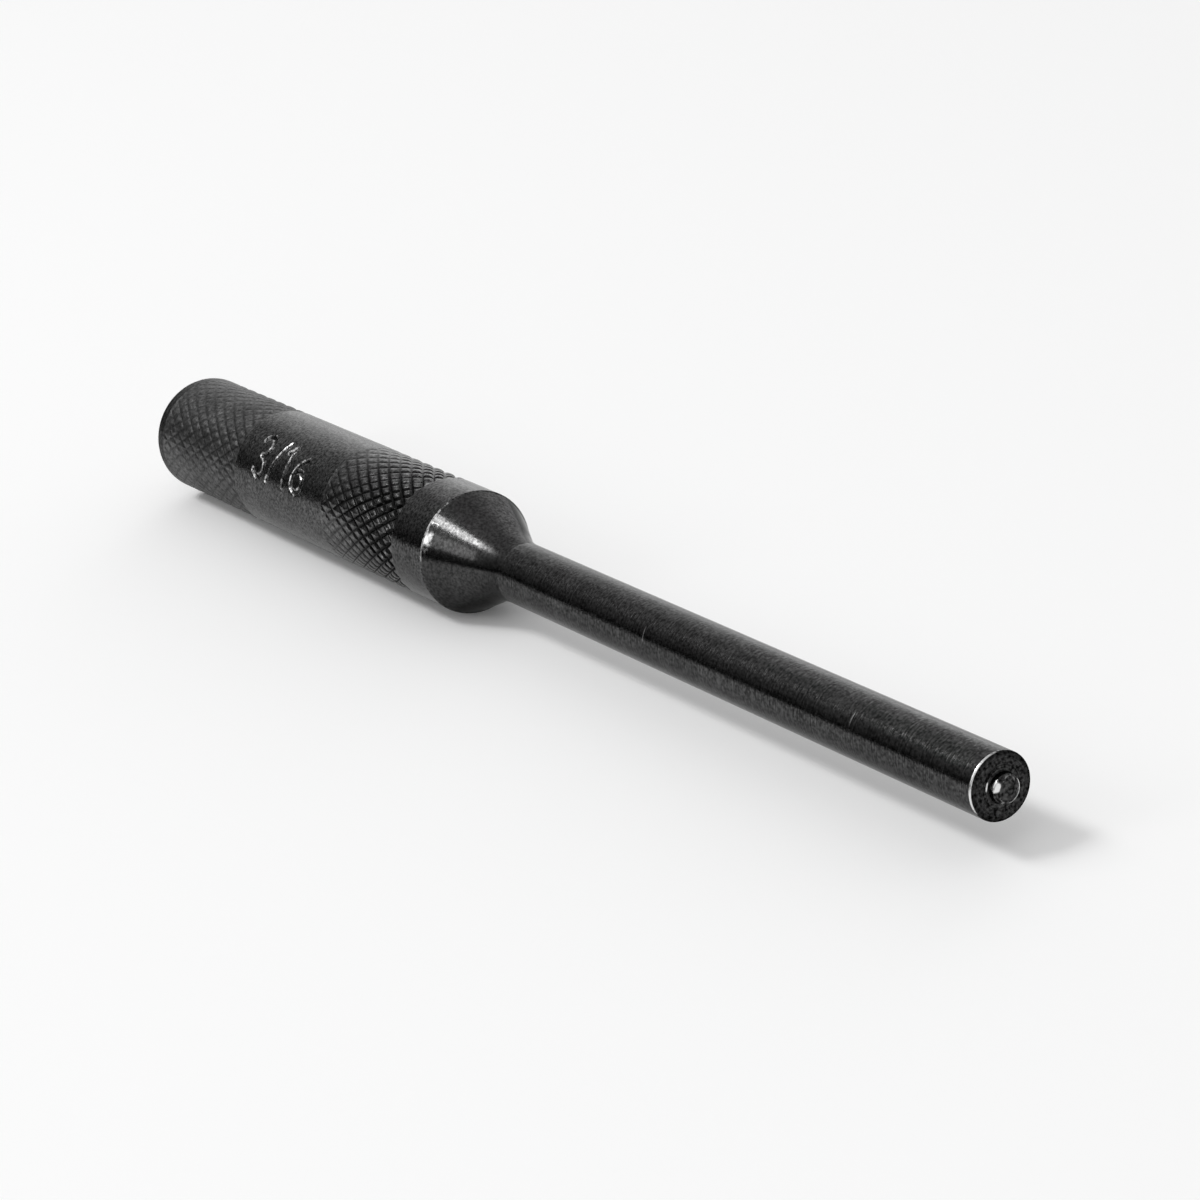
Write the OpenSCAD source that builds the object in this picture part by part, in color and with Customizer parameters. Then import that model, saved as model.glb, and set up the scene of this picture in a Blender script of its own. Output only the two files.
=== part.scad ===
// Pilot punch: a steel drift for hollow spring pins, turned from one round bar.
// It lies on its handle. The axis runs along X, the pilot nub points to +X, and Z is up.
// The bar is divided into sections that meet face to face, from the struck end to the nub.

/* [Handle] */
// Diameter of the bar that the punch is turned from
handle_d = 9.525; // [8:0.025:16]
// Length and depth of the 45 degree chamfer round the struck face
head_chamfer = 1.2; // [0.5:0.1:2.5]
// Plain length between that chamfer and the rear knurl
head_land = 1.0; // [0.5:0.1:6]
// Length of the knurled band at the struck end
rear_knurl_length = 13.8; // [6:0.1:30]
// Length of the plain band between the two knurled bands
size_band_length = 15.2; // [8:0.1:30]
// Length of the knurled band at the shoulder end
front_knurl_length = 11.8; // [6:0.1:30]
// Length of the plain collar, from the knurl to the rim
collar_length = 4.6; // [2:0.1:12]
// Bevel that takes the sharpness off the rim of the collar
rim_break = 0.08; // [0.02:0.01:0.3]

/* [Knurl] */
// Distance round the handle from one groove to the next of the same hand
knurl_pitch = 1.03; // [0.8:0.01:2]
// Angle between a groove and the axis
knurl_angle = 30; // [20:1:45]
// Depth of a groove below the lands
knurl_depth = 0.18; // [0.05:0.01:0.3]

/* [Shoulder] */
// Length of the taper, if it ran straight down to the shank
taper_length = 5.5; // [4:0.1:10]
// Radius that blends the taper into the shank
neck_fillet_r = 9.5; // [2:0.5:12]

/* [Shank] */
// Diameter of the shank, a little under that of a 3/16 in pin
shank_d = 4.67; // [3.6:0.01:6]
// Length of the shank, from the blend to the faced end
shank_length = 55.3; // [30:0.1:120]
// Length of the faced end that drives the pin
tip_length = 4.0; // [1:0.1:10]
// Bevel round the driving face
tip_break = 0.15; // [0.05:0.01:0.4]

/* [Pilot nub] */
// Diameter of the nub's straight side
nub_d = 2.04; // [1.2:0.01:2.4]
// Height of the nub above the driving face
nub_height = 0.75; // [0.6:0.01:1.5]
// Radius of the shallow crown on top of the nub
nub_crown_r = 4.0; // [2:0.1:10]
// Radius round the top edge of the nub
nub_edge_r = 0.2; // [0.05:0.01:0.3]
// Radius in the corner between the nub and the driving face
nub_root_r = 0.2; // [0.05:0.01:0.25]

/* [Hidden] */
$fn = 96;

// Steps along each arc, and grid steps along one pitch of the knurl
arc_steps = 12;
pitch_steps = 4;

handle_r = handle_d / 2;
shank_r = shank_d / 2;
nub_r = nub_d / 2;
head_length = head_chamfer + head_land;

// The taper falls from the broken rim to the shank at this angle to the axis
taper_angle = atan2(handle_r - rim_break - shank_r, taper_length);
// Reach of the blend along the taper and along the shank, from where the two would meet
blend_reach = neck_fillet_r * tan(taper_angle / 2);
shoulder_length = taper_length + blend_reach;

// The crown and the rounded edge of the nub touch at this angle from the axis
crown_angle = asin((nub_r - nub_edge_r) / (nub_crown_r - nub_edge_r));
nub_edge_z = nub_height - nub_crown_r + (nub_crown_r - nub_edge_r) * cos(crown_angle);

overall_length = head_length + rear_knurl_length + size_band_length + front_knurl_length
    + collar_length + shoulder_length + shank_length + tip_length + nub_height;

// Where each section starts, from the struck face at the -X end
head_x = -overall_length / 2;
rear_knurl_x = head_x + head_length;
size_band_x = rear_knurl_x + rear_knurl_length;
front_knurl_x = size_band_x + size_band_length;
collar_x = front_knurl_x + front_knurl_length;
shoulder_x = collar_x + collar_length;
shank_x = shoulder_x + shoulder_length;
tip_x = shank_x + shank_length;
nub_x = tip_x + tip_length;

// Points of an arc as [radius, height] pairs, from one angle to another
function arc(centre_r, centre_z, r, from, to) = [
    for (i = [0:arc_steps])
        let (angle = from + (to - from) * i / arc_steps)
        [centre_r + r * cos(angle), centre_z + r * sin(angle)]
];

// Lays a section that is built upwards from zero along the axis, starting at x
module along_axis(x) {
    translate([x, 0, handle_r])
        rotate([0, 90, 0])
            children();
}

// Depth of the knurl at a grid point that is i steps round the handle and j steps along it.
// A groove of either hand passes where the two counts add up to, or differ by, half a pitch.
function on_groove(k) = (k + pitch_steps / 2) % pitch_steps == 0;
function groove_depth(i, j) =
    on_groove(i + j) || on_groove(abs(i - j)) ? knurl_depth : 0;

// A knurled band: a fine grid on the bar, with two sets of crossing V grooves pressed in.
// Each square of the grid is cut along the way that its groove or its land's edge runs.
module knurled_band(length) {
    grooves = round(PI * handle_d / knurl_pitch);
    around = grooves * pitch_steps;
    step_along = knurl_pitch / tan(knurl_angle) / pitch_steps;
    rows = round(length / step_along);

    function at_end(j) = j == 0 || j == rows;
    function ring_point(i, j) =
        let (r = handle_r - (at_end(j) ? 0 : groove_depth(i, j)))
        let (angle = 360 * i / around)
        [r * cos(angle), r * sin(angle), length * j / rows];
    function index(i, j) = j * around + i % around;
    function half_pitches(i) = floor(2 * i / pitch_steps);
    function square(i, j) =
        let (a = index(i, j), b = index(i + 1, j))
        let (c = index(i + 1, j + 1), d = index(i, j + 1))
        (half_pitches(i) + half_pitches(j)) % 2 == 0
            ? [[a, d, b], [b, d, c]]
            : [[a, c, b], [a, d, c]];

    points = [for (j = [0:rows]) for (i = [0:around - 1]) ring_point(i, j)];
    side = [for (j = [0:rows - 1]) for (i = [0:around - 1]) each square(i, j)];
    low_end = [for (i = [0:around - 1]) index(i, 0)];
    high_end = [for (i = [0:around - 1]) index(around - 1 - i, rows)];
    polyhedron(points, concat(side, [low_end, high_end]), convexity = 4);
}

module striking_head() {
    color([0.13, 0.13, 0.14])
        along_axis(head_x)
            rotate_extrude()
                polygon([
                    [0, 0],
                    [handle_r - head_chamfer, 0],
                    [handle_r, head_chamfer],
                    [handle_r, head_length],
                    [0, head_length]
                ]);
}

module rear_knurl() {
    color([0.16, 0.16, 0.17])
        along_axis(rear_knurl_x)
            knurled_band(rear_knurl_length);
}

module size_band() {
    color([0.12, 0.12, 0.13])
        along_axis(size_band_x)
            cylinder(h = size_band_length, r = handle_r);
}

module front_knurl() {
    color([0.16, 0.16, 0.17])
        along_axis(front_knurl_x)
            knurled_band(front_knurl_length);
}

module collar() {
    color([0.12, 0.12, 0.13])
        along_axis(collar_x)
            rotate_extrude()
                polygon([
                    [0, 0],
                    [handle_r, 0],
                    [handle_r, collar_length - rim_break],
                    [handle_r - rim_break, collar_length],
                    [0, collar_length]
                ]);
}

// Taper and blend: the arc's centre is square to the shank where the blend ends
module shoulder() {
    color([0.2, 0.2, 0.21])
        along_axis(shoulder_x)
            rotate_extrude()
                polygon(concat(
                    [[0, 0], [handle_r - rim_break, 0]],
                    arc(shank_r + neck_fillet_r, shoulder_length, neck_fillet_r,
                        180 + taper_angle, 180),
                    [[0, shoulder_length]]
                ));
}

module shank() {
    color([0.11, 0.11, 0.12])
        along_axis(shank_x)
            cylinder(h = shank_length, r = shank_r);
}

module driving_tip() {
    color([0.12, 0.12, 0.13])
        along_axis(tip_x)
            rotate_extrude()
                polygon([
                    [0, 0],
                    [shank_r, 0],
                    [shank_r, tip_length - tip_break],
                    [shank_r - tip_break, tip_length],
                    [0, tip_length]
                ]);
}

// Root fillet, straight side, rounded edge and shallow crown
module pilot_nub() {
    color([0.22, 0.22, 0.23])
        along_axis(nub_x)
            rotate_extrude()
                polygon(concat(
                    [[0, 0]],
                    arc(nub_r + nub_root_r, nub_root_r, nub_root_r, 270, 180),
                    arc(nub_r - nub_edge_r, nub_edge_z, nub_edge_r, 0, 90 - crown_angle),
                    arc(0, nub_height - nub_crown_r, nub_crown_r, 90 - crown_angle, 90)
                ));
}

striking_head();
rear_knurl();
size_band();
front_knurl();
collar();
shoulder();
shank();
driving_tip();
pilot_nub();
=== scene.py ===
"""A pilot punch lying on a pale floor, dressed around its packed construction model."""

import math

import bmesh
import bpy
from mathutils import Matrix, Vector


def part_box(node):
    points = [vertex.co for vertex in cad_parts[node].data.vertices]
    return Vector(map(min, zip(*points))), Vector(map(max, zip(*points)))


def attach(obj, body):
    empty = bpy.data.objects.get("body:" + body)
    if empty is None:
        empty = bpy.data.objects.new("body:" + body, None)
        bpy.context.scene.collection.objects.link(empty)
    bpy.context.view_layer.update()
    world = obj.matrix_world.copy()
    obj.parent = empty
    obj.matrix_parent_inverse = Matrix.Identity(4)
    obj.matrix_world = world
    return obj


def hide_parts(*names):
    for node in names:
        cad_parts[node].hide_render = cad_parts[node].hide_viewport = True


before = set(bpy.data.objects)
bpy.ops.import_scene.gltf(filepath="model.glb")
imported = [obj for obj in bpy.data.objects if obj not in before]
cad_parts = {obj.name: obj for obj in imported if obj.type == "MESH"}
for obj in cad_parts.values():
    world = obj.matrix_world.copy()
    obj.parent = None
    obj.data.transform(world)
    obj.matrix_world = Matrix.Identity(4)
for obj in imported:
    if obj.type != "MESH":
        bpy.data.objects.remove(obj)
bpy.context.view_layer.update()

# Struck end
# The back end of the bar, faced square, with a 45 degree chamfer. Hammers have worn its oxide thin.
# It is one bar with all the rest: tool steel, hardened and blackened in hot oxide.

MM = 0.001
bar_low, bar_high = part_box("size_band")
bar_radius = (bar_high.z - bar_low.z) / 2
axis_height = (bar_high.z + bar_low.z) / 2
bar_facets = 256
sharp_angle = math.radians(30)
same_place = 1e-7


def smooth(share):
    """A soft step: 0 up to 0, and 1 from 1 on."""
    share = min(1.0, max(0.0, share))
    return share * share * (3 - 2 * share)


def facing(vert, middle, reach):
    """1 on the line that faces `middle` degrees from the top towards -Y, fading out over `reach`."""
    angle = math.degrees(math.atan2(-vert.co.y, vert.co.z))
    return smooth(1 - abs((angle - middle + 180) % 360 - 180) / reach)


def turned(outline, facets=bar_facets):
    """Spins an outline of (x, radius) pairs round the punch's axis into a closed solid."""
    bm = bmesh.new()
    corners = [bm.verts.new((x, 0, radius)) for x, radius in outline]
    lines = [bm.edges.new(pair) for pair in zip(corners, corners[1:])]
    bmesh.ops.spin(
        bm, geom=corners + lines, cent=(0, 0, 0), axis=(1, 0, 0), dvec=(0, 0, 0),
        angle=math.tau, steps=facets, use_merge=True, use_duplicate=False,
    )
    bmesh.ops.remove_doubles(bm, verts=bm.verts, dist=1e-8)
    bmesh.ops.recalc_face_normals(bm, faces=bm.faces)
    return bm


def round_ring(bm, x, radius, width, segments=4):
    """Rounds the ring of edges that lies at one x and one radius."""

    def on_ring(vert):
        off_radius = abs(vert.co.yz.length - radius)
        return abs(vert.co.x - x) < same_place and off_radius < same_place

    ring = [edge for edge in bm.edges if all(on_ring(vert) for vert in edge.verts)]
    bmesh.ops.bevel(
        bm, geom=ring, offset=width, offset_type="OFFSET", affect="EDGES",
        segments=segments, profile=0.5, material=-1, clamp_overlap=True,
    )


def mark_wear_and_shade(bm, wear_and_shade_of):
    """Records on each vertex how far its oxide is worn off, and below 0 how much darker it is painted
    as shade.
    """
    layer = bm.verts.layers.float.new("wear_and_shade")
    for vert in bm.verts:
        vert[layer] = wear_and_shade_of(vert)


def finished(bm, name, node, slot, *materials):
    """Lays a turned section on its handle and hands it over in place of its node."""
    bmesh.ops.translate(bm, verts=bm.verts, vec=(0, 0, axis_height))
    for face in bm.faces:
        face.smooth = True
    for edge in bm.edges:
        edge.smooth = edge.calc_face_angle(0) < sharp_angle
    mesh = bpy.data.meshes.new(name)
    bm.to_mesh(mesh)
    bm.free()
    for material in materials:
        mesh.materials.append(material)
    piece = bpy.data.objects.new(name, mesh)
    bpy.context.scene.collection.objects.link(piece)
    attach(piece, "root")
    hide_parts(node)


def put(material, kind, setting=(), **sockets):
    """Adds a node; a socket's value is a number, a vector or the output that feeds it."""
    node = material.node_tree.nodes.new(kind)
    for label, value in setting:
        setattr(node, label, value)
    for label, value in sockets.items():
        socket = node.inputs[label.replace("_", " ")]
        if isinstance(value, bpy.types.NodeSocket):
            material.node_tree.links.new(value, socket)
        else:
            socket.default_value = value
    return node


def reckon(material, operation, *values):
    """Works out a sum, a product or the like of numbers and outputs."""
    node = material.node_tree.nodes.new("ShaderNodeMath")
    node.operation = operation
    for socket, value in zip(node.inputs, values):
        if isinstance(value, bpy.types.NodeSocket):
            material.node_tree.links.new(value, socket)
        else:
            socket.default_value = value
    return node.outputs["Value"]


def spread(material, value, low, high, to_low, to_high):
    """Maps what lies from low to high onto another range, and holds it there at both ends."""
    node = put(
        material, "ShaderNodeMapRange",
        Value=value, From_Min=low, From_Max=high, To_Min=to_low, To_Max=to_high,
    )
    return node.outputs["Result"]


def cloud(material, place, scale, detail):
    node = put(material, "ShaderNodeTexNoise", Vector=place, Scale=scale, Detail=detail)
    return node.outputs["Fac"]


# Patterns in the oxide; a scale is the number of features in a metre
speckle_scale = 6000
mottling_scale = 4600
drift_scale = 300
drift_strength = 0.15
ring_scale = 7000
ring_wander = 0.3 * MM
ring_strength = 0.4
scratch_scale = (1500, 170, 170)
scratch_edge = (0.05, 0.14)
scratch_strength = 0.75
relief_height = 0.012 * MM

# Nearly all of a noise lies in its span, and the thick of it in its core
noise_span = (0.3, 0.7)
noise_core = (0.35, 0.65)

# Brightness of bare steel; what an oxide's own is multiplied by at the bottom of a groove and on a
# land, which paints shade into the grooves and a little light onto the lands; and what it is
# multiplied by where the mesh marks painted shade
bare_steel = 0.78
groove_shade_tone = 0.1
land_tone = 1.15
painted_shade_tone = 0.1

# Steel starts to show at the first of these shares of wear, and is bare at the second
wear_range = (0.4, 1.0)

# Roughness of bare steel, and what an oxide's own is multiplied by where it varies
bare_roughness = 0.28
smoothest = 0.8
roughest = 1.25


def oxide(
    name, shade, roughness, grain, edge=0.7, mottle=0.5, marks=0.5, patchy=0.4,
    patch_scale=3000, scratched=0.04, groove_shade_depth=0.0,
):
    """Hot black oxide on steel: near black, satin, mottled, ringed with fine tool marks.

    The mesh's wear and shade value says how worn it is: steel is bare at 1 and above, and below 0
    the oxide is painted darker, as shade. Short scratches go through it, in a share `scratched` of
    places. With a groove shade depth, what lies that far under the bar's surface is darker: partly
    the oxide and oil that gather in hollows, partly painted shade, and the lands are a little lighter.
    """
    material = bpy.data.materials.new(name)
    material.use_nodes = True
    shader = material.node_tree.nodes["Principled BSDF"]
    shader.inputs["Metallic"].default_value = 1.0
    # The edge value holds the oxide's reflection down at grazing angles, a painted darkening that
    # stands in for dark surroundings.
    shader.inputs["Specular Tint"].default_value = (edge, edge, edge, 1)

    place = put(material, "ShaderNodeTexCoord").outputs["Object"]
    parts = put(material, "ShaderNodeSeparateXYZ", Vector=place).outputs
    height = reckon(material, "SUBTRACT", parts["Z"], axis_height)
    across = put(material, "ShaderNodeCombineXYZ", Y=parts["Y"], Z=height).outputs["Vector"]
    length = put(material, "ShaderNodeVectorMath", [("operation", "LENGTH")], Vector=across)
    radius = length.outputs["Value"]

    speckle = cloud(material, place, speckle_scale, 2)
    mottling = cloud(material, place, mottling_scale, 3)
    drift = cloud(material, place, drift_scale, 2)
    tool_path = reckon(material, "ADD", parts["X"], radius)
    wander = reckon(material, "MULTIPLY_ADD", drift, ring_wander, tool_path)
    one_way = [("noise_dimensions", "1D")]
    tracks = put(material, "ShaderNodeTexNoise", one_way, Scale=ring_scale, Detail=3, W=wander)
    rings = tracks.outputs["Fac"]

    tone = spread(material, mottling, *noise_core, shade * (1 - mottle), shade * (1 + mottle))
    drifted = spread(material, drift, *noise_span, 1 - drift_strength, 1 + drift_strength)
    tone = reckon(material, "MULTIPLY", tone, drifted)
    ring_reach = ring_strength * marks
    ringed = spread(material, rings, *noise_core, 1 - ring_reach, 1 + ring_reach)
    tone = reckon(material, "MULTIPLY", tone, ringed)
    if groove_shade_depth:
        groove_radius = bar_radius - groove_shade_depth
        land = spread(material, radius, groove_radius, bar_radius, groove_shade_tone, land_tone)
        tone = reckon(material, "MULTIPLY", tone, land)

    wear_and_shade = put(material, "ShaderNodeAttribute", [("attribute_name", "wear_and_shade")]).outputs["Fac"]
    painted_shade = spread(material, wear_and_shade, -1.0, 0.0, painted_shade_tone, 1.0)
    tone = reckon(material, "MULTIPLY", tone, painted_shade)
    patches = spread(material, cloud(material, place, patch_scale, 4), *noise_span, -patchy, patchy)
    bare = spread(material, reckon(material, "ADD", wear_and_shade, patches), *wear_range, 0.0, 1.0)

    stretched = put(material, "ShaderNodeMapping", Vector=place, Scale=scratch_scale)
    cells = put(material, "ShaderNodeTexVoronoi", Vector=stretched.outputs["Vector"], Scale=1.0)
    draw = put(material, "ShaderNodeSeparateColor", Color=cells.outputs["Color"])
    chosen = reckon(material, "GREATER_THAN", draw.outputs["Red"], 1 - scratched)
    line = spread(material, cells.outputs["Distance"], *scratch_edge, 1.0, 0.0)
    scratch = reckon(material, "MULTIPLY", chosen, line)
    scratch = reckon(material, "MULTIPLY", scratch, scratch_strength)
    bare = reckon(material, "MAXIMUM", bare, scratch)

    tone = spread(material, bare, 0.0, 1.0, tone, bare_steel)
    grey = put(material, "ShaderNodeCombineColor", Red=tone, Green=tone, Blue=tone)
    material.node_tree.links.new(grey.outputs["Color"], shader.inputs["Base Color"])
    gloss = spread(material, speckle, *noise_span, roughness * smoothest, roughness * roughest)
    gloss = spread(material, bare, 0.0, 1.0, gloss, bare_roughness)
    material.node_tree.links.new(gloss, shader.inputs["Roughness"])

    grains = reckon(material, "MULTIPLY", speckle, grain)
    relief = reckon(material, "MULTIPLY_ADD", rings, marks, grains)
    bump = put(material, "ShaderNodeBump", Height=relief, Strength=1.0, Distance=relief_height)
    material.node_tree.links.new(bump.outputs["Normal"], shader.inputs["Normal"])
    return material


head_low, head_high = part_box("striking_head")
head_chamfer = 1.2 * MM
head_round = 0.15 * MM
face_radius = bar_radius - head_chamfer
face_rings = 8
bm = turned([
    *[(head_low.x, face_radius * ring / face_rings) for ring in range(face_rings + 1)],
    (head_low.x + head_chamfer, bar_radius),
    (head_high.x, bar_radius),
    (head_high.x, 0),
])
round_ring(bm, head_low.x, face_radius, head_round)
round_ring(bm, head_low.x + head_chamfer, bar_radius, head_round)

chamfer_wear = 0.2
middle_wear = 0.25
edge_wear = 0.45
edge_wear_width = 0.25 * MM
face_depth = 0.2 * MM


def struck(vert):
    """Hammers have thinned the oxide in the middle of the face and along its edge."""
    radius = vert.co.yz.length
    past_face = vert.co.x - head_low.x
    worn = chamfer_wear * smooth(1 - past_face / head_chamfer)
    if past_face < face_depth:
        worn += middle_wear * smooth(1 - radius / face_radius)
        worn += edge_wear * smooth(1 - abs(radius - face_radius) / edge_wear_width)
    return worn


mark_wear_and_shade(bm, struck)
oxide_struck = oxide(
    "oxide_struck", shade=0.08, roughness=0.33, grain=0.5, edge=0.5, marks=0.9, patchy=0.2,
    patch_scale=1800,
)
finished(bm, "struck_end", "striking_head", "oxide_satin", oxide_struck)

# Knurled bands
# Two bands of diamond knurl, rolled into the bar by a pair of hardened wheels.
# The wheels press V grooves of both hands; the lands between them keep the bar's surface.

groove_count = 29
groove_angle = math.radians(30)
groove_pitch = math.tau * bar_radius / groove_count
axial_pitch = groove_pitch / math.tan(groove_angle)
normal_pitch = groove_pitch * math.cos(groove_angle)
groove_half_width = normal_pitch / 2
groove_sharpness = 2.4
faint_depth = 0.05 * MM
shallow_depth = 0.08 * MM
full_depth = 0.24 * MM
deepening = 1.5
run_out = 0.35 * MM
wear_per_depth = 1.6 / MM
steps_round_pitch = 16
# Down in the knurls' grooves the oxide is painted darker, as shade, partly also the oxide and oil that
# gather there, and the lands a little lighter.
oxide_dull = oxide(
    "oxide_dull", shade=0.12, roughness=0.35, grain=0.5, edge=0.5, mottle=0.4, marks=0.2,
    groove_shade_depth=0.14 * MM,
)
oxide_knurl = oxide(
    "oxide_knurl", shade=0.118, roughness=0.2, grain=0.6, edge=0.6, marks=0.2,
    groove_shade_depth=0.08 * MM,
)


def from_groove(turns):
    """Distance to the nearest groove of one hand, square to the groove."""
    return abs(turns % 1 - 0.5) * normal_pitch


def knurl(name, node, depth_at_back, depth_at_front, material):
    """A band with V grooves of both hands that run out at its ends, and lands that are worn."""
    low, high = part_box(node)
    length = high.x - low.x
    rows = round(length / axial_pitch * steps_round_pitch)
    surface = [(low.x + length * row / rows, bar_radius) for row in range(rows + 1)]
    bm = turned([(low.x, 0), *surface, (high.x, 0)], groove_count * steps_round_pitch)
    wear_and_shade = bm.verts.layers.float.new("wear_and_shade")
    for vert in bm.verts:
        radius = vert.co.yz.length
        if radius < bar_radius / 2:
            continue
        round_share = math.atan2(vert.co.y, vert.co.z) / math.tau * groove_count
        along_share = (vert.co.x - low.x) / axial_pitch
        away = min(from_groove(round_share + along_share), from_groove(round_share - along_share))
        from_end = min(vert.co.x - low.x, high.x - vert.co.x)
        forward = (vert.co.x - low.x) / length
        depth = depth_at_back + (depth_at_front - depth_at_back) * forward ** deepening
        sink = depth * (1 - away / groove_half_width) ** groove_sharpness * smooth(from_end / run_out)
        vert.co.y *= (radius - sink) / radius
        vert.co.z *= (radius - sink) / radius
        vert[wear_and_shade] = wear_per_depth * (depth - sink) * smooth(away / groove_half_width)
    finished(bm, name, node, "oxide_knurl", material)


knurl("back_knurl", "rear_knurl", faint_depth, shallow_depth, oxide_dull)
knurl("front_knurl_band", "front_knurl", faint_depth, full_depth, oxide_knurl)

# Plain band and collar
# Ground bar left plain between the knurls and in front of them.
# The pin's size, in inches, is struck into the band with number stamps.

numeral_height = 3.6 * MM
numeral_angle = 48
stroke_half_width = 0.25 * MM
stamp_depth = 0.2 * MM
stamp_facets = 384
stamp_rings = 110
bow_steps = 12

# In shares of the numerals' height: how far before the band's middle their row starts, how wide
# it is, and the room round it
row_start = 1.32
row_width = 2.5
row_margin = 0.2
numeral_start_x = (bar_low.x + bar_high.x) / 2 - row_start * numeral_height

# How worn a stroke's lip is, and its place and reach in half widths of the stroke
lip_wear = 0.7
lip_place = 0.9
lip_reach = 0.6


def bow(middle_x, middle_y, radius, start, stop):
    """A stroke along an arc, in shares of the numeral's height, with angles in degrees."""
    sweep = stop - start
    turns = [math.radians(start + sweep * step / bow_steps) for step in range(bow_steps + 1)]
    return [(middle_x + radius * math.cos(a), middle_y + radius * math.sin(a)) for a in turns]


three = [bow(0.27, 0.74, 0.24, 150, -90), bow(0.27, 0.25, 0.25, 90, -150)]
slash = [[(0.0, 0.0), (0.42, 1.0)]]
one = [[(0.0, 0.8), (0.2, 0.98), (0.2, 0.0)]]
six = [bow(0.27, 0.26, 0.25, 0, 360), bow(0.6, 0.26, 0.58, 180, 112)]
strokes = []
for numeral, start in ((three, 0.0), (slash, 0.72), (one, 1.32), (six, 1.85)):
    strokes += [[(x + start, y) for x, y in line] for line in numeral]


def from_stroke(x, y):
    """Distance from a point of the stamped area to the nearest stroke, in numeral heights."""
    nearest = 1.0
    for line in strokes:
        for (ax, ay), (bx, by) in zip(line, line[1:]):
            run = bx - ax
            climb = by - ay
            along = ((x - ax) * run + (y - ay) * climb) / (run ** 2 + climb ** 2)
            along = min(1.0, max(0.0, along))
            nearest = min(nearest, math.hypot(x - ax - along * run, y - ay - along * climb))
    return nearest


def from_stamp(vert):
    """Distance from a point of the band's surface to the middle of the nearest stamped stroke."""
    x = (vert.co.x - numeral_start_x) / numeral_height
    turn = math.atan2(-vert.co.y, vert.co.z) - math.radians(numeral_angle)
    y = 0.5 - turn * bar_radius / numeral_height
    in_row = -row_margin < x < row_width + row_margin and -row_margin < y < 1 + row_margin
    if not in_row or vert.co.yz.length < bar_radius / 2:
        return numeral_height
    return from_stroke(x, y) * numeral_height


stamp_start_x = numeral_start_x - row_margin * numeral_height
stamp_stop_x = numeral_start_x + row_width * numeral_height
stamp_length = stamp_stop_x - stamp_start_x
surface = [(bar_low.x, bar_radius)]
for ring in range(stamp_rings + 1):
    surface.append((stamp_start_x + stamp_length * ring / stamp_rings, bar_radius))
surface.append((bar_high.x, bar_radius))
bm = turned([(bar_low.x, 0), *surface, (bar_high.x, 0)], stamp_facets)
wear_and_shade = bm.verts.layers.float.new("wear_and_shade")
for vert in bm.verts:
    away = from_stamp(vert) / stroke_half_width
    if away < 2:
        left = 1 - stamp_depth * max(0.0, 1 - away) / bar_radius
        vert.co.y *= left
        vert.co.z *= left
        vert[wear_and_shade] = lip_wear * smooth(1 - abs(away - lip_place) / lip_reach)
# The stamped strokes are painted darker towards their bottoms, as shade.
oxide_stamped = oxide(
    "oxide_stamped", shade=0.062, roughness=0.24, grain=1.0, mottle=0.8, marks=0.3,
    groove_shade_depth=0.3 * MM,
)
finished(bm, "plain_band", "size_band", "oxide_satin", oxide_stamped)

oxide_satin = oxide(
    "oxide_satin", shade=0.065, roughness=0.18, grain=1.0, mottle=0.8, marks=0.3,
)
collar_low, collar_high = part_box("collar")
rim_break = 0.08 * MM
rim_wear_and_glint = 0.8
bm = turned([
    (collar_low.x, 0),
    (collar_low.x, bar_radius),
    (collar_high.x - 1.7 * rim_break, bar_radius),
    (collar_high.x - rim_break, bar_radius),
    (collar_high.x, bar_radius - rim_break),
    (collar_high.x, 0),
])


def rim_glint_wear(vert):
    """The broken edge of the rim is worn along its upper side, where the lamps' highlight falls."""
    if vert.co.x < collar_high.x - 1.5 * rim_break:
        return 0
    return rim_wear_and_glint * facing(vert, middle=50, reach=60)


mark_wear_and_shade(bm, rim_glint_wear)
finished(bm, "collar_band", "collar", "oxide_satin", oxide_satin)

# Shoulder
# The taper from handle to shank, turned with a formed tool, so that it blends into the shank.
# Its upper edge is scuffed where it has knocked against other punches, on the side where the lamps'
# glint falls.

oxide_turned = oxide(
    "oxide_turned", shade=0.052, roughness=0.18, grain=0.35, edge=0.45, mottle=0.4, marks=0.15,
    patchy=0.35, patch_scale=2200,
)
low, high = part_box("shoulder")
shank_low, shank_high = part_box("shank")
shank_radius = (shank_high.z - shank_low.z) / 2
taper_length = 5.5 * MM
blend_radius = 9.5 * MM
scuff_and_glint_length = 1.5 * MM
deep_wear_and_glint = 0.95
light_wear_and_glint = 0.55
taper_rings = 12
blend_rings = 32
taper_angle = math.atan2(bar_radius - rim_break - shank_radius, taper_length)
blend = [
    (high.x - blend_radius * math.sin(taper_angle * ring / blend_rings),
     shank_radius + blend_radius * (1 - math.cos(taper_angle * ring / blend_rings)))
    for ring in range(blend_rings, -1, -1)
]
taper = [
    (low.x + (blend[0][0] - low.x) * ring / taper_rings,
     bar_radius - rim_break + (blend[0][1] - bar_radius + rim_break) * ring / taper_rings)
    for ring in range(taper_rings)
]
bm = turned([(low.x, 0), *taper, *blend, (high.x, 0)])


def scuff_and_glint(vert):
    """A deep scuff right at the rim, and a lighter, longer one round it, on the side where the lamps'
    glint falls.
    """
    from_rim = (vert.co.x - low.x) / scuff_and_glint_length
    deep = deep_wear_and_glint * facing(vert, middle=58, reach=24) * smooth(1 - 1.4 * from_rim)
    light = light_wear_and_glint * facing(vert, middle=53, reach=30) * smooth(1 - from_rim)
    return max(deep, light)


mark_wear_and_shade(bm, scuff_and_glint)
finished(bm, "tapered_shoulder", "shoulder", "oxide_turned", oxide_turned)

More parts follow.
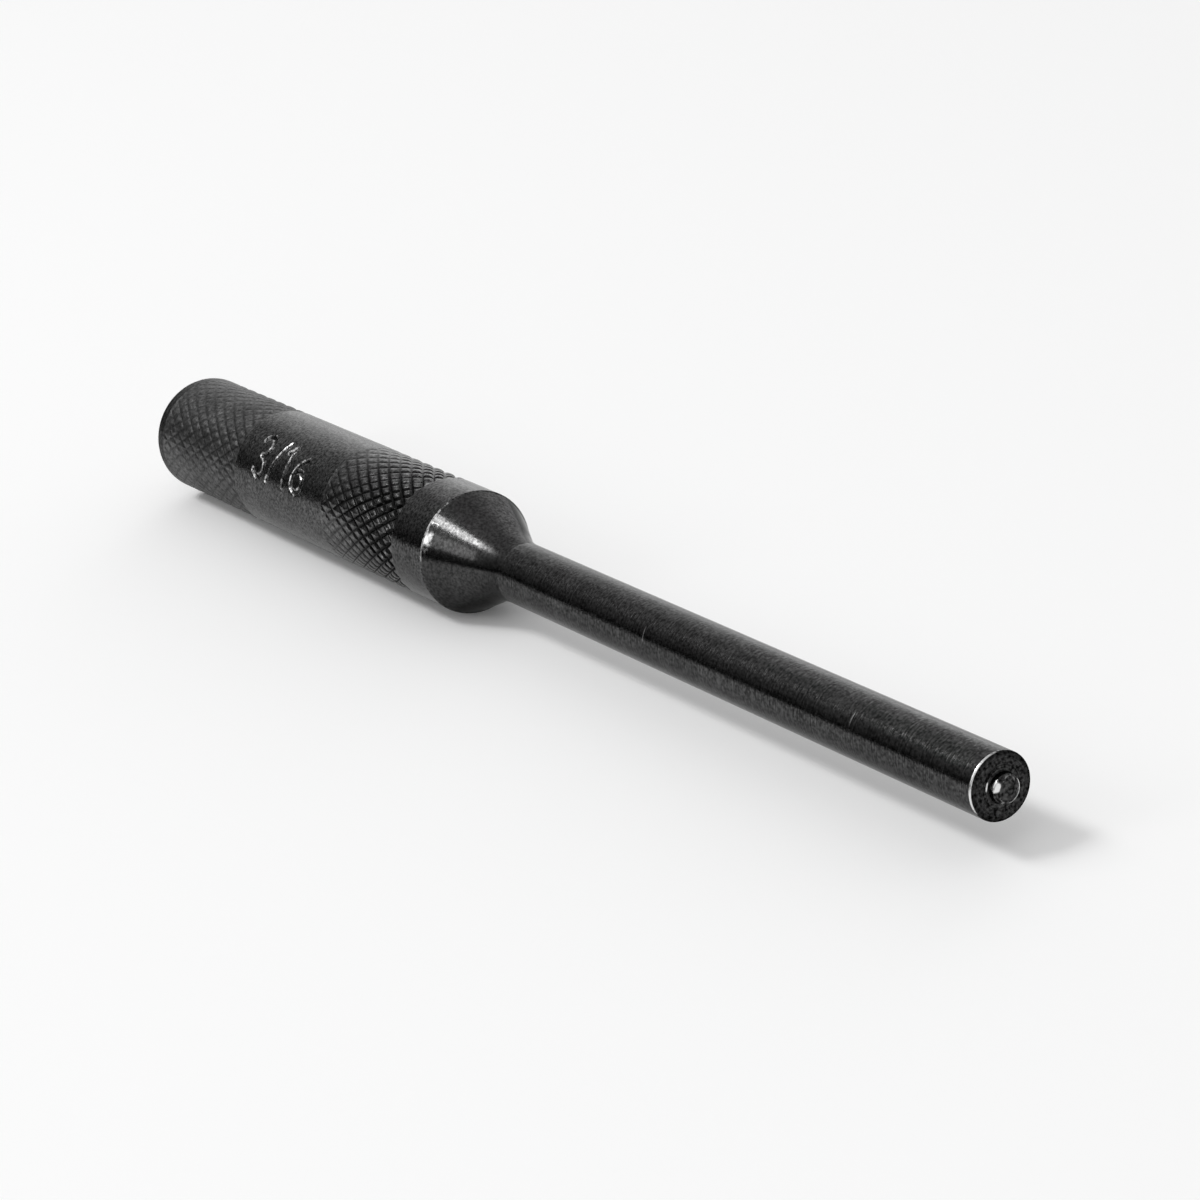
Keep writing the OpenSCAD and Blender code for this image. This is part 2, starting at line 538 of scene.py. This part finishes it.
# Shank
# The long working part, turned a little under the size of the pin it drives.
# Its tool marks run round it and catch the light, and a few scratches go through its oxide.

oxide_ringed = oxide(
    "oxide_ringed", shade=0.055, roughness=0.18, grain=0.8, edge=0.62, mottle=0.6, marks=0.8,
    scratched=0.22,
)
bm = turned([
    (shank_low.x, 0),
    (shank_low.x, shank_radius),
    (shank_high.x, shank_radius),
    (shank_high.x, 0),
])
finished(bm, "long_shank", "shank", "oxide_satin", oxide_ringed)

# Driving tip and pilot nub
# The end is faced square round a small nub that enters the hollow of the pin.
# Its edge is broken, and the oxide is worn off the edge and the nub by use, most where the lamps'
# highlights fall; the face's rim, the edge's far side and the nub's root are painted darker, as shade.

tip_low, tip_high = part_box("driving_tip")
tip_break = 0.15 * MM
tip_round = 0.06 * MM
tip_round_steps = 3
bm = turned([
    (tip_low.x, 0),
    (tip_low.x, shank_radius),
    (tip_high.x - 1.5 * tip_break, shank_radius),
    (tip_high.x - tip_break, shank_radius),
    (tip_high.x, shank_radius - tip_break),
    (tip_high.x, shank_radius - 1.5 * tip_break),
    (tip_high.x, shank_radius - 2.5 * tip_break),
    (tip_high.x, 0),
])
round_ring(bm, tip_high.x - tip_break, shank_radius, tip_round, tip_round_steps)
round_ring(bm, tip_high.x, shank_radius - tip_break, tip_round, tip_round_steps)
# How bare the edge is worn where the lamps' highlight falls, and how much darker the edge's far side
# and the face's rim are painted, as shade.
edge_wear_and_highlight = 1.9
edge_far_side_shade = 0.8
face_rim_shade = -0.6


def tip_wear_and_shade(vert):
    """Bare on the side of the broken edge where the lamps' highlight falls; painted darker as shade on
    the far side and round the face's rim.
    """
    radius = vert.co.yz.length
    if vert.co.x < tip_high.x - 1.45 * tip_break or radius < shank_radius - 2 * tip_break:
        return 0
    if radius < shank_radius - 0.7 * tip_break:
        return face_rim_shade
    bare = edge_wear_and_highlight * facing(vert, middle=58, reach=100)
    return bare - edge_far_side_shade * facing(vert, middle=-122, reach=150)


mark_wear_and_shade(bm, tip_wear_and_shade)
faced_from_x = tip_high.x - 0.9 * tip_break
for face in bm.faces:
    face.material_index = 1 if face.calc_center_median().x > faced_from_x else 0
oxide_faced = oxide(
    "oxide_faced", shade=0.03, roughness=0.3, grain=2.0, edge=0.2, mottle=0.9, marks=1.0,
    patchy=0.1,
)
finished(bm, "faced_tip", "driving_tip", "oxide_turned", oxide_ringed, oxide_faced)

low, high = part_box("pilot_nub")
nub_radius = 1.02 * MM
root_radius = 0.2 * MM
edge_radius = 0.2 * MM
crown_radius = 4.0 * MM
crown_angle = math.asin((nub_radius - edge_radius) / (crown_radius - edge_radius))
edge_x = high.x - crown_radius + (crown_radius - edge_radius) * math.cos(crown_angle)
quarter = math.pi / 2
nub_steps = 10
nub_facets = 128
# The nub's root is painted darker as shade; its rounded edge and one side of the root's foot are worn
# bare most where the lamps' glints and a sheen fall.
root_painted_shade = -0.5
foot_wear_and_glint = 1.8
round_wear = 0.3
near_side_wear_and_glint = 1.7
far_arc_wear_and_sheen = 2.4


def curve(centre_x, centre_radius, radius, start, stop):
    """Points of an arc as (x, radius) pairs; an angle of 0 points away from the axis."""
    angles = [start + (stop - start) * step / nub_steps for step in range(nub_steps + 1)]
    return [(centre_x + radius * math.sin(a), centre_radius + radius * math.cos(a)) for a in angles]


bm = turned([
    (low.x, 0),
    *curve(low.x + root_radius, nub_radius + root_radius, root_radius, -quarter, -2 * quarter),
    *curve(edge_x, nub_radius - edge_radius, edge_radius, 0, quarter - crown_angle),
    *curve(high.x - crown_radius, 0, crown_radius, quarter - crown_angle, quarter)[1:-1],
    (high.x, 0),
], nub_facets)


def nub_wear_and_shade(vert):
    """Worn bare on the rounded edge, most where the lamps' glints fall, and on the side of the root's
    foot where a glint falls; the root is painted darker as shade.
    """
    share_out = vert.co.yz.length / nub_radius
    above_root = vert.co.x - low.x - root_radius
    if share_out > 1.1:
        return foot_wear_and_glint * facing(vert, middle=72, reach=24)
    if above_root < 0:
        return root_painted_shade
    on_edge = smooth((share_out - 0.5) / 0.3) * smooth(above_root / root_radius)
    near_side = near_side_wear_and_glint * facing(vert, middle=62, reach=34)
    far_side = far_arc_wear_and_sheen * facing(vert, middle=-120, reach=75)
    far_side *= smooth((share_out - 0.84) / 0.1)
    return on_edge * (round_wear + near_side + far_side)


mark_wear_and_shade(bm, nub_wear_and_shade)
oxide_worn = oxide(
    "oxide_worn", shade=0.04, roughness=0.22, grain=1.5, mottle=0.9, patchy=0.3,
)
finished(bm, "nub", "pilot_nub", "oxide_worn", oxide_worn)

# Floor
# A wide sheet of white paper that the punch lies on. It shines a little where the camera or the
# steel sees it, so that it comes out a clean white and keeps the punch's shadow.

floor_reach = 3
paper_white = 0.9
paper_lift = 0.05
floor_mesh = bpy.data.meshes.new("floor")
bm = bmesh.new()
bmesh.ops.create_grid(bm, x_segments=1, y_segments=1, size=floor_reach)
bm.to_mesh(floor_mesh)
bm.free()
floor = bpy.data.objects.new("floor", floor_mesh)
bpy.context.scene.collection.objects.link(floor)
white_paper = bpy.data.materials.new("white_paper")
white_paper.use_nodes = True
ray = put(white_paper, "ShaderNodeLightPath").outputs
seen = reckon(white_paper, "MAXIMUM", ray["Is Camera Ray"], ray["Is Glossy Ray"])
seen = reckon(white_paper, "MAXIMUM", seen, ray["Is Transmission Ray"])
paper = white_paper.node_tree.nodes["Principled BSDF"]
paper.inputs["Base Color"].default_value = (paper_white, paper_white, paper_white, 1)
paper.inputs["Roughness"].default_value = 1.0
paper.inputs["Specular IOR Level"].default_value = 0.0
paper.inputs["Emission Color"].default_value = (1, 1, 1, 1)
lift = reckon(white_paper, "MULTIPLY", seen, paper_lift)
white_paper.node_tree.links.new(lift, paper.inputs["Emission Strength"])
floor_mesh.materials.append(white_paper)

# Studio
# Walls that are white low down and grey above, a bright window low behind the punch, and a black
# card low on its left, which gives the steel its dark line. Four soft lamps stand over the card
# and draw the edges, and a broad one fills from above the camera.

lamp_distance = 1.2
key_size = 0.25
world = bpy.data.worlds.new("studio")
bpy.context.scene.world = world
world.use_nodes = True


def direction(azimuth, elevation):
    """A step of 1 towards an azimuth, counted from +X towards +Y, and an elevation."""
    a = math.radians(azimuth)
    e = math.radians(elevation)
    return Vector((math.cos(e) * math.cos(a), math.cos(e) * math.sin(a), math.sin(e)))


# Where the card and the window stand, as (azimuth, share), and how bright they and the wall are
# from the floor up, as (sine of the elevation, brightness)
card_by_azimuth = ((-180, 0.8), (-171, 1), (-70, 1), (-50, 0), (164, 0), (180, 0.8))
window_by_azimuth = ((-180, 0), (109, 0), (116, 1), (138, 1), (145, 0.45), (164, 0.4), (176, 0))
card_by_rise = (
    (0, 0), (0.1, 0), (0.165, 0.09), (0.26, 0.18), (0.41, 0.26), (0.48, 0.36), (0.56, 0.6), (0.8, 0.6),
)
window_by_rise = (
    (0, 2.6), (0.1, 2.5), (0.3, 2.4), (0.42, 2.1), (0.52, 1.7), (0.62, 1.2), (0.72, 0.9), (0.85, 0.6),
)
wall_by_rise = ((0, 1.15), (0.2, 1.0), (0.36, 0.55), (0.55, 0.45), (0.72, 0.6), (0.87, 0.55))


def ramp(fac, stops):
    """A grey scale through (share, brightness) stops."""
    scale = put(world, "ShaderNodeValToRGB", Fac=fac)
    elements = scale.color_ramp.elements
    for place, (share, brightness) in enumerate(stops):
        element = elements[place] if place < 2 else elements.new(share)
        element.position = share
        element.color = (brightness, brightness, brightness, 1)
    return scale.outputs["Color"]


def by_azimuth(stops):
    return ramp(turn_share, [((degrees + 180) / 360, share) for degrees, share in stops])


sight = put(world, "ShaderNodeTexCoord").outputs["Generated"]
parts = put(world, "ShaderNodeSeparateXYZ", Vector=sight).outputs
rise = parts["Z"]
turn = reckon(world, "ARCTAN2", parts["Y"], parts["X"])
turn_share = spread(world, turn, -math.pi, math.pi, 0.0, 1.0)
lit = spread(
    world, by_azimuth(window_by_azimuth), 0.0, 1.0,
    ramp(rise, wall_by_rise), ramp(rise, window_by_rise),
)
lit = spread(world, by_azimuth(card_by_azimuth), 0.0, 1.0, lit, ramp(rise, card_by_rise))
background = world.node_tree.nodes["Background"]
world.node_tree.links.new(lit, background.inputs["Color"])


def soft_lamp(name, azimuth, elevation, size, power):
    """A square soft lamp that looks at the middle of the punch."""
    data = bpy.data.lights.new(name, "AREA")
    data.shape = "SQUARE"
    data.size = size
    data.energy = power
    lamp = bpy.data.objects.new(name, data)
    lamp.location = direction(azimuth, elevation) * lamp_distance
    lamp.rotation_euler = lamp.location.to_track_quat("Z", "Y").to_euler()
    bpy.context.scene.collection.objects.link(lamp)


soft_lamp("key", azimuth=246, elevation=58, size=key_size, power=2.8)
soft_lamp("key_middle", azimuth=229, elevation=54, size=key_size, power=1.7)
soft_lamp("key_far", azimuth=214, elevation=47, size=key_size, power=0.8)
soft_lamp("side_box", azimuth=256, elevation=30, size=0.43, power=1.1)
soft_lamp("fill", azimuth=325, elevation=48, size=0.51, power=0.8)

# Camera
# It stands in front of the nub's end, on the side of the stamped size, and looks down a little,
# so that the tip comes towards it.

camera_data = bpy.data.cameras.new("camera")
camera_data.sensor_width = 36
camera_data.lens = 122.73
camera_data.clip_start = 0.01
camera_data.clip_end = 20
camera = bpy.data.objects.new("camera", camera_data)
camera.location = Vector((251.133, -125.58, 111.368)) * MM
camera.rotation_euler = [math.radians(degrees) for degrees in (68.437, 10.274, 58.599)]
bpy.context.scene.collection.objects.link(camera)
bpy.context.scene.camera = camera

bpy.context.scene.view_settings.view_transform = "Standard"
